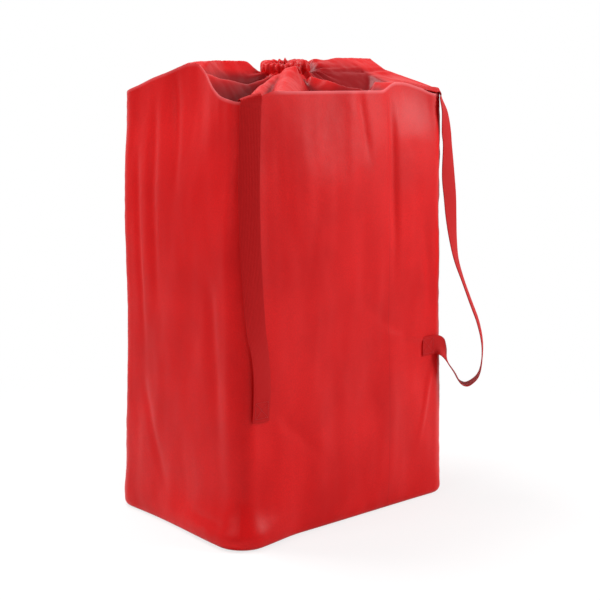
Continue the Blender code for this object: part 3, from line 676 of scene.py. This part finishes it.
def bag_panels(shell):
    """Cuts the shell at its corner seams into the four cloth panels."""
    names = ("front", "right_side", "back", "left_side")
    ring = np.concatenate([shell, shell[:, :1]], axis=1)
    # painted shade in the crown's deep folds, painted highlight along the rim and the fold crests
    depth, edge_highlight = painted_fold_shade(ring), painted_edge_highlight(ring)
    edges = SEAMS + [shell.shape[1]]
    made = {}
    for side, name in enumerate(names):
        span = slice(edges[side], edges[side + 1] + 1)
        cloth = grid_object(f"{name}_cloth", ring[:, span], NYLON)
        mark(cloth, "painted_fold_shade", depth[:, span])
        mark(cloth, "painted_edge_highlight", edge_highlight[:, span])
        thicken(cloth, CLOTH)
        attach(cloth, "bag")
        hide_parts(f"{name}_panel")
        made[name] = cloth
    return made


def seam_tapes(shell):
    """Binding tapes inside the four upright corner seams, a little off the cloth."""
    names = ("front_left", "front_right", "back_right", "back_left")
    for name, seam in zip(names, SEAMS):
        columns = [(seam + step) % shell.shape[1] for step in range(-4, 5)]
        strip = shell[6:WALL_ROWS - 8, columns].copy()
        middle = np.array([np.sign(COLUMNS[seam][0]) * 0.22, np.sign(COLUMNS[seam][1]) * 0.144])
        inward = middle - strip[..., :2]
        inward /= np.linalg.norm(inward, axis=-1, keepdims=True)
        strip[..., :2] += inward * 0.0030
        uv = strip_uv(strip)
        tape = grid_object(f"{name}_tape", strip, WEBBING, uv=uv)
        thicken(tape, 0.0009)
        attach(tape, "bag")
        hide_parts(f"seam_binding_{name}")


def strip_uv(points):
    """UV in metres: V runs along the rows, U across the columns."""
    down = np.linalg.norm(np.diff(points, axis=0), axis=-1).mean(axis=1)
    over = np.linalg.norm(np.diff(points, axis=1), axis=-1).mean(axis=0)
    v = np.concatenate([[0], np.cumsum(down)])
    u = np.concatenate([[0], np.cumsum(over)])
    return np.stack(np.broadcast_arrays(u[None, :], v[:, None]), axis=-1)


# ---- straps ------------------------------------------------------------------------------
def smooth(points, steps):
    """Catmull-Rom curve through rows of numbers, with so many steps between neighbours."""
    rows = np.array(points, float)
    result = []
    for index in range(len(rows) - 1):
        a, b = rows[max(index - 1, 0)], rows[index]
        c, d = rows[index + 1], rows[min(index + 2, len(rows) - 1)]
        for step in range(steps):
            t = step / steps
            result.append(0.5 * (2 * b + (c - a) * t + (2 * a - 5 * b + 4 * c - d) * t * t
                                 + (3 * b - a - 3 * c + d) * t ** 3))
    result.append(rows[-1])
    return np.array(result)


def webbing(name, stations, steps, body="bag", across=12, cup=0.0006):
    """A flat strap through (place, direction of width) stations, with thick selvedges."""
    rows = smooth([(*place, *wide) for place, wide in stations], steps)
    places, wides = rows[:, :3], rows[:, 3:]
    tangents = np.gradient(places, axis=0)
    tangents /= np.linalg.norm(tangents, axis=1, keepdims=True)
    wides = wides - tangents * np.sum(wides * tangents, axis=1, keepdims=True)
    wides /= np.linalg.norm(wides, axis=1, keepdims=True)
    faces = np.cross(tangents, wides)
    ring = []
    for step in range(across + 1):
        share = 2 * step / across - 1
        ring.append((share * WEB_WIDTH / 2, WEB_THICK / 2 * (1 - 0.25 * abs(share) ** 6)))
    outline = [(u, h) for u, h in ring] + [(u, -h) for u, h in reversed(ring)]
    section = []
    for u, h in outline:
        bend = cup * (1 - (2 * u / WEB_WIDTH) ** 2)
        section.append(places + wides * u + faces * (h + bend))
    points = np.array(section).transpose(1, 0, 2)
    length = np.concatenate([[0], np.cumsum(np.linalg.norm(np.diff(places, axis=0), axis=1))])
    count = len(outline)
    mesh = bpy.data.meshes.new(name)
    faces_out = []
    for row in range(len(points) - 1):
        for corner in range(count):
            turn = (corner + 1) % count
            faces_out.append((row * count + corner, (row + 1) * count + corner,
                              (row + 1) * count + turn, row * count + turn))
    faces_out.append(tuple(range(count)))
    faces_out.append(tuple(reversed(range((len(points) - 1) * count, len(points) * count))))
    mesh.from_pydata(points.reshape(-1, 3).tolist(), [], faces_out)
    mesh.update()
    layer = mesh.uv_layers.new(name="webbing")
    for loop in mesh.loops:
        row, corner = divmod(loop.vertex_index, count)
        layer.data[loop.index].uv = (outline[corner][0], length[row])
    mesh.shade_smooth()
    mesh.set_sharp_from_angle(angle=math.radians(60))
    thing = put(name, mesh)
    point_outwards(thing)
    mesh.materials.append(WEBBING)
    if body:
        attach(thing, body)
    return thing


STRAP_LIFT = 0.0006 + 0.0012
X_WAY, Z_WAY = (1.0, 0.0, 0.0), (0.0, 0.0, 1.0)


def half_sizes(height):
    share = min(height, RIM) / RIM
    return [base + (rim - base) * share for base, rim in zip(BASE_HALF, RIM_HALF)]


def on_corner(mirror, past_corner, height, lift=STRAP_LIFT):
    """Webbing on the front panel or round its corner; past_corner is the length round it."""
    half_width, half_depth = half_sizes(height)
    angle = max(past_corner, 0.0) / CORNER
    radius = CORNER + lift
    x = half_width - CORNER + min(past_corner, 0.0) + radius * math.sin(angle)
    y = -(half_depth - CORNER) - radius * math.cos(angle)
    return (mirror * x, y, height), (mirror * math.cos(angle), math.sin(angle), 0.0)


STITCH, STITCH_STEP, THREAD = 0.0026, 0.0034, 0.00032


def box_stitch(name, middle, across, up):
    """Sewn square with a cross in it: each stitch a short loop of thread let into the webbing."""
    half = 0.0145
    corners = [(-half, -half), (half, -half), (half, half), (-half, half)]
    lines = list(zip(corners, corners[1:] + corners[:1]))
    lines += [(corners[0], corners[2]), (corners[1], corners[3])]
    build = bmesh.new()
    out = np.cross(across, up)
    out = out if out[1] < 0 else -out
    for (ax, ay), (bx, by) in lines:
        length = math.hypot(bx - ax, by - ay)
        count = int(length / STITCH_STEP)
        for index in range(count):
            share = (index + 0.5) / count
            centre = middle + across * (ax + (bx - ax) * share) + up * (ay + (by - ay) * share)
            way = (across * (bx - ax) + up * (by - ay)) / length
            side = np.cross(way, out)
            rings = []
            for t, swell_out in ((-0.5, 0.25), (-0.3, 0.85), (0.0, 1.0), (0.3, 0.85), (0.5, 0.25)):
                base = centre + way * t * STITCH + out * (THREAD * (swell_out - 0.6))
                rings.append([build.verts.new(base + (side * math.cos(a) + out * math.sin(a))
                                              * THREAD * swell_out)
                              for a in [math.pi * s / 3 for s in range(6)]])
            for lower, upper in zip(rings, rings[1:]):
                for s in range(6):
                    build.faces.new((lower[s], lower[(s + 1) % 6], upper[(s + 1) % 6], upper[s]))
            build.faces.new(list(reversed(rings[0])))
            build.faces.new(rings[-1])
    bmesh.ops.recalc_face_normals(build, faces=build.faces)
    mesh = bpy.data.meshes.new(name)
    build.to_mesh(mesh)
    build.free()
    mesh.shade_smooth()
    mesh.materials.append(THREAD_NYLON)
    stitches = put(name, mesh)
    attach(stitches, "bag")


def hugging(mirror, past_corner, height):
    """A station on the corner that lies on the cloth's own swells."""
    place, wide = on_corner(mirror, past_corner, height)
    return on_corner(mirror, past_corner, height, STRAP_LIFT + max(swell(place, wide), -0.001))


def left_strap():
    """Pulled tight down the left front corner and over the rim into the folds."""
    low = 0.2505 - 0.0145 - 0.007
    lean = smooth([(low, -0.0050), (0.30, -0.0050), (0.36, 0.002), (0.39, 0.0075),
                   (0.45, 0.0118), (0.54, 0.0160), (0.635, 0.0178), (0.71, 0.0172),
                   (0.755, 0.0165), (0.782, 0.0160)], 3)    # height, reach round the corner
    stations = [hugging(-1, reach, height) for height, reach in lean.tolist()]
    place, wide = on_corner(-1, 0.0158, RIM, 0.0)
    out = np.array([-wide[1], wide[0], 0.0])
    tilt = np.array(wide) + np.array([0.0, 0.0, -0.32])
    tilt = tuple(tilt / np.linalg.norm(tilt))
    for reach, height in ((0.0042, -0.006), (0.0026, 0.0005), (-0.0020, 0.0032),
                          (-0.0090, 0.0020), (-0.0180, -0.0040), (-0.0260, -0.0120)):
        stations.append((tuple(np.array(place) + out * reach + (0, 0, height - 0.0035)), tilt))
    strap = webbing("left_strap_webbing", stations, 3)
    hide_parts("left_strap")
    low_end, high_end = [np.array(hugging(-1, -0.0050, height)[0]) for height in (0.236, 0.265)]
    middle = (low_end + high_end) / 2 + (0, -WEB_THICK / 2 - 0.0009, 0)
    up = (high_end - low_end) / np.linalg.norm(high_end - low_end)
    box_stitch("left_box_stitch", middle, np.array(X_WAY), up)


def on_crown(x, y, way):
    """Webbing lying on the slope of the crown's cloth, clear of it all across its width."""
    share = np.linspace(-0.5, 0.5, 9) * WEB_WIDTH
    rims = RIM + rim_lift(x + share * way[0], np.full(9, -RIM_HALF[1]))
    heights = crown_surface(x + share * way[0], y + share * way[1], rims)
    slope, level = np.polyfit(share, heights, 1)
    clear = float((heights - slope * share - level).max())
    wide = np.array([way[0], way[1], slope])
    return (x, y, float(level) + clear + STRAP_LIFT), tuple(wide / np.linalg.norm(wide))


CORNER_OUT = np.array([0.7472, -0.6646, 0.0])
CORNER_BACK = np.array([0.6646, 0.7472, 0.0])
LOOP_ORIGIN = np.array([0.2510, -0.1630, 0.0])


def loop_station(out, back, height, twist):
    place = LOOP_ORIGIN + CORNER_OUT * out + CORNER_BACK * back + np.array([0, 0, height])
    angle = math.radians(twist)
    wide = CORNER_OUT * math.cos(angle) + CORNER_BACK * math.sin(angle)
    return tuple(place), tuple(wide)


LOOP_PLACES = (
    (0.0215, -0.004, 0.700, 58), (0.0241, -0.004, 0.642, 45), (0.0282, -0.004, 0.600, 46),
    (0.0313, -0.004, 0.559, 52), (0.0359, -0.004, 0.517, 62), (0.0436, -0.003, 0.474, 72),
    (0.0576, -0.003, 0.432, 78), (0.0737, -0.002, 0.389, 78), (0.0896, -0.002, 0.347, 78),
    (0.0986, -0.002, 0.304, 80), (0.0975, -0.002, 0.262, 82), (0.0915, -0.003, 0.240, 84),
    (0.0800, -0.004, 0.2275, 86), (0.0666, -0.006, 0.2220, 88), (0.0538, -0.008, 0.2285, 90),
    (0.0425, -0.011, 0.2480, 92))
LOOP_SPLIT = 8               # the loop's two halves meet at this station


def right_strap():
    """One strap in two lengths that meet in the hanging loop, so that each bends at its end."""
    slant = (0.62, 0.785, 0.0)
    crown = [on_crown(x, y, slant) for x, y in ((0.1960, -0.128), (0.2080, -0.138),
                                                (0.2200, -0.148), (0.2310, -0.157))]
    corner = np.array([0.2468, -0.1703, RIM])
    out = np.array([0.7071, -0.7071, 0.0])
    tilts = ((0.62, 0.785, 0.26), (0.62, 0.785, 0.24), (0.66, 0.75, 0.16), (0.76, 0.65, 0.08))
    rim = [(tuple(corner + out * reach + (0, 0, height)), tilt) for (reach, height), tilt in
           zip(((-0.0060, 0.0078), (0.0005, 0.0062), (0.0036, 0.0010), (0.0052, -0.0080)), tilts)]
    drop = [((0.2526, -0.1814, 0.768), (0.88, 0.475, 0.0)),
            loop_station(0.0185, -0.0060, 0.728, 58)]
    loop = [loop_station(*row) for row in LOOP_PLACES]
    foot = [((0.2610, -0.1955, 0.2690), (0.62, 0.78, 0.05)),
            ((0.2545, -0.1955, 0.2850), (0.74, 0.60, 0.28)),
            ((0.2475, -0.1945, 0.2970), (0.72, 0.42, 0.55)),
            ((0.2400, -0.1925, 0.3050), (0.45, 0.18, 0.87)),
            ((0.2310, -0.1902, 0.3088), (0.15, 0.05, 0.99)), ((0.2220, -0.1889, 0.3092), Z_WAY),
            ((0.2080, -0.1889, 0.3090), Z_WAY), ((0.1931, -0.1889, 0.3090), Z_WAY)]
    rows = crown + rim + drop + loop + foot
    middle = len(crown + rim + drop) + LOOP_SPLIT
    whole = smooth([(*place, *wide) for place, wide in rows], 4)
    cut = middle * 4
    upper = [(tuple(row[:3]), tuple(row[3:])) for row in whole[:cut + 1].tolist()]
    lower = [(tuple(row[:3]), tuple(row[3:])) for row in whole[cut:].tolist()]
    top = webbing("right_strap_upper_webbing", upper, 1, body=None)
    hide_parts("right_strap_top")
    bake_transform(top)
    bottom = webbing("right_strap_lower_webbing", lower, 1, body=None)
    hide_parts("right_strap", "right_strap_end")
    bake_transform(bottom)
    middle = np.array([0.2076, -0.1889 - WEB_THICK / 2 - 0.0009, 0.3090])
    box_stitch("right_box_stitch", middle, np.array(X_WAY), np.array(Z_WAY))


# ---- drawcord ----------------------------------------------------------------------------
CORD_WIDTH = 0.004
EXIT_ANGLE, EXIT_HALF = math.radians(50), math.radians(17)
OUT_FLAT = Vector((math.cos(EXIT_ANGLE), math.sin(EXIT_ANGLE), 0.0))
ACROSS_FLAT = Vector((-math.sin(EXIT_ANGLE), math.cos(EXIT_ANGLE), 0.0))
SLOPE_UP = Vector((0.0, CREST_SLOPE, 1.0)).normalized()
TAIL_SPACING, LOCK_STATION, LOCK_ABOVE = 0.0024, 0.080, 0.0088
COIL_STATION, COIL_RADIUS, COIL_PITCH = 0.165, 0.022, 0.0041
COIL_ABOVE = 0.0063


def on_back_slope(along, across, above):
    """A point measured outwards from the mouth, sideways, and square off the back slope."""
    plan = OUT_FLAT * along + ACROSS_FLAT * across
    height = RIM + CREST_SLOPE * (RIM_HALF[1] - abs(plan.y))
    return Vector((plan.x, plan.y, height)) + SLOPE_UP * above


DOWNHILL = (on_back_slope(0.1, 0, 0) - on_back_slope(0.05, 0, 0)).normalized()
SLOPE_ACROSS = SLOPE_UP.cross(DOWNHILL)
COIL_MIDDLE = on_back_slope(COIL_STATION, -COIL_RADIUS, COIL_ABOVE)


def mouth_point(angle):
    return Vector((MOUTH_RADIUS * math.cos(angle), MOUTH_RADIUS * math.sin(angle),
                   MOUTH_HEIGHT))


def tail_route(side):
    """From the casing's end, through the lock, to where the stored coil begins."""
    angle = EXIT_ANGLE + side * EXIT_HALF
    start = mouth_point(angle)
    heading = Vector((math.sin(angle), -math.cos(angle), 0.0)) * side
    straight = on_back_slope(LOCK_STATION - 0.018, side * TAIL_SPACING, LOCK_ABOVE)
    first, second = start + heading * 0.016, straight - DOWNHILL * 0.0208
    route = []
    for step in range(12):
        t = step / 12
        u = 1 - t
        route.append(start * u ** 3 + first * 3 * u * u * t + second * 3 * u * t * t
                     + straight * t ** 3)
    for step in range(12):
        station = LOCK_STATION - 0.018 + (COIL_STATION - 0.0257 - LOCK_STATION) * step / 12
        route.append(on_back_slope(station, side * TAIL_SPACING, LOCK_ABOVE))
    return route


def coil_route(lanes, start_reach):
    """Turns wound clockwise on the slope; lanes gives each turn's (column, layer) in the coil."""
    route = []
    steps = 28
    total = steps * len(lanes) + steps // 4
    lanes = [(start_reach / COIL_PITCH, 0.6)] + list(lanes) + [(-1.6, -0.6)]
    for step in range(2, total - 2):
        turn = step / steps
        before, after = lanes[int(turn)], lanes[min(int(turn) + 1, len(lanes) - 1)]
        mix = float(ease(turn - int(turn), 0.0, 0.22))
        column = before[0] + (after[0] - before[0]) * mix
        layer = before[1] + (after[1] - before[1]) * mix
        angle = math.pi / 2 - 2 * math.pi * turn
        outward = DOWNHILL * math.cos(angle) + SLOPE_ACROSS * math.sin(angle)
        route.append(COIL_MIDDLE + outward * (COIL_RADIUS + column * COIL_PITCH)
                     + SLOPE_UP * layer * COIL_PITCH)
    return route


def cord_object(name, route):
    curve = bpy.data.curves.new(name, "CURVE")
    curve.dimensions = "3D"
    curve.bevel_depth = CORD_WIDTH / 2
    curve.bevel_resolution = 3
    curve.use_fill_caps = True
    spline = curve.splines.new("POLY")
    spline.points.add(len(route) - 1)
    for point, place in zip(spline.points, route):
        point.co = (*place, 1.0)
    curve.materials.append(CORD)
    thing = put(name, curve)
    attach(thing, "bag")
    return thing


def drawcord():
    """One cord: round the mouth inside its casing, then both tails, coiled, to one knot."""
    sweep = 2 * math.pi - 2 * EXIT_HALF
    ring = [mouth_point(EXIT_ANGLE - EXIT_HALF - sweep * step / 60) for step in range(60)]
    long_route = ring + tail_route(1) + coil_route(((1, 1), (1, 0), (1, -1), (0, -1)), 0.0024)
    short_route = tail_route(-1) + coil_route(((0, 1), (0, 0), (-1, 1), (-1, 0)), -0.0024)
    long_cord = cord_object("drawcord_long_tail", long_route)
    short_cord = cord_object("drawcord_short_tail", short_route)
    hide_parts("drawcord")
    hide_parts("drawcord_coil")
    knot = end_knot()


def end_knot():
    """Overhand knot of both tails: a trefoil of cord, pulled up small."""
    low, high = [Vector(corner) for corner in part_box("cord_end_knot")]
    middle = (low + high) / 2
    scale = 0.00108
    rings, places = [], []
    count, sides = 96, 10
    for step in range(count):
        t = 2 * math.pi * step / count
        flat = Vector((math.sin(t) + 2 * math.sin(2 * t), math.cos(t) - 2 * math.cos(2 * t),
                       -1.5 * math.sin(3 * t))) * scale
        places.append(middle + DOWNHILL * flat.x + SLOPE_ACROSS * flat.y + SLOPE_UP * flat.z)
    for step, place in enumerate(places):
        way = (places[(step + 1) % count] - places[step - 1]).normalized()
        side = way.cross(SLOPE_UP).normalized()
        up = side.cross(way)
        rings.append([tuple(place + (side * math.cos(a) + up * math.sin(a)) * CORD_WIDTH * 0.42)
                      for a in [2 * math.pi * s / sides for s in range(sides)]])
    rings.append(rings[0])
    knot = grid_object("cord_knot", np.array(rings), CORD, closed=True)
    weld = knot.modifiers.new("join", "WELD")
    weld.merge_threshold = 0.00002
    apply_all(knot)
    point_outwards(knot)
    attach(knot, "bag")
    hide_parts("cord_end_knot")
    return knot


PRESS_AXIS = Vector((0.779641, -0.599452, 0.181153))
PRESS_TRAVEL, SPRING_TURNS, SPRING_WIRE = 0.004, 3, 0.0007


def lock_spring():
    """Coil of wire under the plunger, at its rest length; pressing the plunger would close it up.
    """
    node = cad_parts["cord_lock_spring"]
    corners = np.array([node.matrix_world @ vertex.co for vertex in node.data.vertices])
    side = PRESS_AXIS.orthogonal().normalized()
    axes = np.array([PRESS_AXIS.normalized(), side, PRESS_AXIS.cross(side).normalized()])
    low, high = (corners @ axes.T).min(axis=0), (corners @ axes.T).max(axis=0)
    middle, coil = (low + high) / 2, (high[1] - low[1] - SPRING_WIRE) / 2
    length = high[0] - low[0]
    count, sides = SPRING_TURNS * 24 + 1, 10
    rings = []
    for step in range(count):
        share = step / (count - 1)
        turn = 2 * math.pi * SPRING_TURNS * share
        height = low[0] + SPRING_WIRE / 2 + (length - SPRING_WIRE) * share
        ring = []
        for corner in range(sides):
            round_wire = 2 * math.pi * corner / sides
            reach = coil + SPRING_WIRE / 2 * math.cos(round_wire)
            ring.append(np.array([height + SPRING_WIRE / 2 * math.sin(round_wire),
                                  middle[1] + reach * math.cos(turn),
                                  middle[2] + reach * math.sin(turn)]) @ axes)
        rings.append(ring)
    spring = grid_object("lock_spring_wire", np.array(rings), STEEL, closed=True)
    point_outwards(spring, close_ends=True)
    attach(spring, "cord_lock")
    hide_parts("cord_lock_spring")
    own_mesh(spring)


def base_cloth(shell):
    """Floor of the bag, sewn in at the foot and pressed flat by the load."""
    outline = shell[0]
    rings = []
    for share in np.concatenate([np.linspace(1.0, 0.06, 30), [0.004]]):
        ring = outline * np.array([share, share, 1.0])
        ring[:, 2] = 0.0012 + 0.0004 * (1 - share)
        rings.append(ring)
    rings = np.array(rings)
    rings[1:-1, :, 2] += 0.0011 * (1 + field(rings[1:-1], 0.06, 8))
    base = grid_object("base_cloth", rings, NYLON, closed=True)
    build = bmesh.new()
    build.from_mesh(base.data)
    bmesh.ops.contextual_create(build, geom=[e for e in build.edges if e.is_boundary
                                             and e.verts[0].co.xy.length < 0.01])
    bmesh.ops.recalc_face_normals(build, faces=build.faces)
    build.to_mesh(base.data)
    build.free()
    thicken(base, CLOTH, 0.0)
    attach(base, "bag")
    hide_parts("base_panel")


# ---- floor and light ---------------------------------------------------------------------
def add_floor():
    bpy.ops.mesh.primitive_plane_add(size=14.0, location=(0, 0, 0))
    floor = bpy.context.active_object
    floor.name = "studio_floor"
    made, tree, shader = new_material("pale_painted_floor")
    shader.inputs["Base Color"].default_value = colour("F4F4F4")
    shader.inputs["Roughness"].default_value = 0.9
    output = tree.nodes["Material Output"]
    glow = add(tree, "ShaderNodeEmission", Color=(1, 1, 1, 1), Strength=1.0)
    path = add(tree, "ShaderNodeLightPath")
    # towards the camera the floor turns into the white backdrop with distance
    place = add(tree, "ShaderNodeTexCoord").outputs["Object"]
    distance = add(tree, "ShaderNodeVectorMath", [(0, place)], operation="LENGTH")
    fade = spread_over(tree, distance.outputs["Value"], 0.3, 1.3, 0.72, 1.0,
                       interpolation_type="SMOOTHSTEP")
    share = reckon(tree, "MULTIPLY", path.outputs["Is Camera Ray"], fade)
    both = add(tree, "ShaderNodeMixShader", [(0, share), (1, shader.outputs[0]),
                                             (2, glow.outputs[0])])
    tree.links.new(both.outputs[0], output.inputs["Surface"])
    floor.data.materials.append(made)


def add_light(name, place, target, size, power):
    data = bpy.data.lights.new(name, "AREA")
    data.shape = "SQUARE"
    data.size = size
    data.energy = power
    lamp = put(name, data)
    lamp.location = place
    way = Vector(target) - Vector(place)
    lamp.rotation_euler = way.to_track_quat("-Z", "Y").to_euler()


def add_world():
    world = bpy.data.worlds.new("studio_world")
    bpy.context.scene.world = world
    world.use_nodes = True
    tree = world.node_tree
    back = tree.nodes["Background"]
    path = add(tree, "ShaderNodeLightPath")
    seen = reckon(tree, "MAXIMUM", path.outputs["Is Camera Ray"], path.outputs["Is Glossy Ray"])
    seen = reckon(tree, "MAXIMUM", seen, path.outputs["Is Transmission Ray"])
    # the backdrop is white where it is seen, and fills the shadows only softly
    strength = spread_over(tree, seen, 0.0, 1.0, 0.23, 1.0)
    tree.links.new(strength, back.inputs["Strength"])
    back.inputs["Color"].default_value = (1, 1, 1, 1)


# ---- making ------------------------------------------------------------------------------
add_camera()
NYLON = nylon_material()
WEBBING = webbing_material()
CORD = cord_material()
ACETAL = simple_material("moulded_black_acetal", "0C0C0E", "17171A", 300.0, 0.38)
THREAD_NYLON = simple_material("bonded_nylon_thread", "8E0A12", "B8141C", 900.0, 0.5)
STEEL = simple_material("drawn_spring_steel", "8C8C90", "B4B4B8", 500.0, 0.3, 1.0)

drawcord()
lock_spring()
COLUMNS, SEAMS = shell_columns()
SHELL = build_shell()
bag_panels(SHELL)
hem_casing(SHELL)
base_cloth(SHELL)
seam_tapes(SHELL)
left_strap()
right_strap()

for node, surface in (("base_seam_binding", NYLON), ("left_anchor_patch", NYLON),
                      ("right_anchor_patch", NYLON), ("cord_lock_body", ACETAL),
                      ("cord_lock_plunger", ACETAL)):
    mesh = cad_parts[node].data
    mesh.materials.clear()
    mesh.materials.append(surface)

add_floor()
add_light("key_light", (1.7, -1.7, 1.5), (0.05, 0, 0.60), 0.9, 56)
add_light("side_light", (-2.0, 0.0, 1.6), (-0.25, 0, 0.60), 0.9, 19)
add_light("top_light", (-0.5, 1.0, 3.2), (0, 0, 0.5), 1.2, 84)
add_world()
bpy.context.scene.view_settings.view_transform = "Standard"
